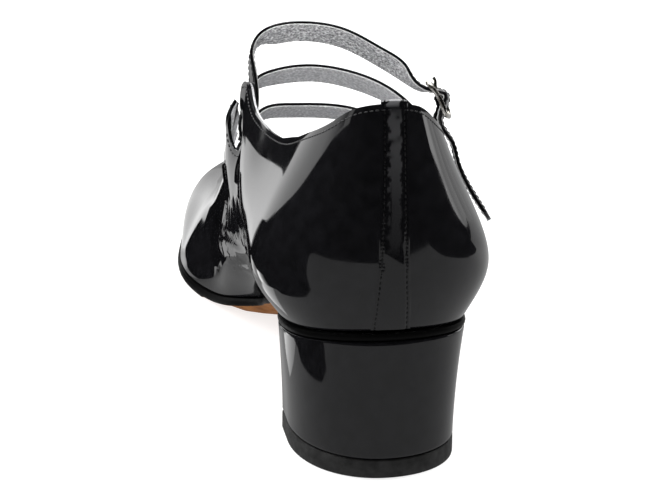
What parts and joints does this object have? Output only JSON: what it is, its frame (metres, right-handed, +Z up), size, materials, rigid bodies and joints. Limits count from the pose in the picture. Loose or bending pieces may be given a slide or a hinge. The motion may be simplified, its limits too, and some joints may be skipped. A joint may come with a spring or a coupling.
{
  "type": "pump",
  "caption": "Round-toe pump for the right foot with a low block heel, instep straps on tabs and a side buckle.",
  "frame": {"origin": "centre of the heel's flat ground face", "axes": "+Y towards the toe, +X towards the outer side of the right foot, +Z up"},
  "size_m": [0.0856, 0.2458, 0.115],
  "materials": {
    "patent_leather": "black patent, mirror gloss",
    "heel_cover": "black patent cover, high gloss",
    "lining": "silver metallic leather, fine grain",
    "sole_leather": "tan sole leather, smooth, dark edge",
    "top_piece": "matte black",
    "buckle_metal": "polished old silver"
  },
  "bodies": {
    "root": {"upper": "patent_leather", "strap_instep": "patent_leather", "strap_middle": "patent_leather", "strap_front": "patent_leather", "buckle_stay": "patent_leather", "heel_block": "heel_cover", "insole": "lining", "outsole": "sole_leather", "heel_top_piece": "top_piece", "buckle_frame": "buckle_metal", "buckle_pin": "buckle_metal"}
  },
  "joints": []
}
